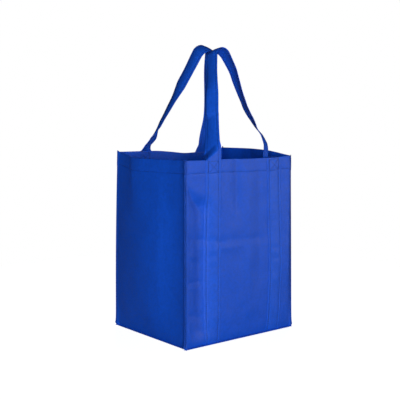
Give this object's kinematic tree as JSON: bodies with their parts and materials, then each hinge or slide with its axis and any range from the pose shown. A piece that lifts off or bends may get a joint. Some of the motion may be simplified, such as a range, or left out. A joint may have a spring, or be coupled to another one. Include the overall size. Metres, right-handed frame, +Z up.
{
  "type": "non-woven carrier bag",
  "caption": "Upright stitched non-woven carrier bag with a flat base, side gussets, an open top and two long handle straps sewn down the front and back panels.",
  "frame": {"origin": "on the floor, under the middle of the bag", "axes": "+Z up through the open top and the handles; the front panel faces -Y and the side gussets face -X and +X"},
  "size_m": [0.3314, 0.2704, 0.6421],
  "materials": {
    "bag_cloth": "matte spun-bonded non-woven cloth with a fine embossed dot grid, royal blue",
    "strap_cloth": "matte non-woven cloth folded double, royal blue"
  },
  "bodies": {
    "root": {"front_panel": "bag_cloth", "back_panel": "bag_cloth", "left_gusset": "bag_cloth", "right_gusset": "bag_cloth", "base_panel": "bag_cloth", "front_handle_strap": "strap_cloth", "back_handle_strap": "strap_cloth"}
  },
  "joints": []
}
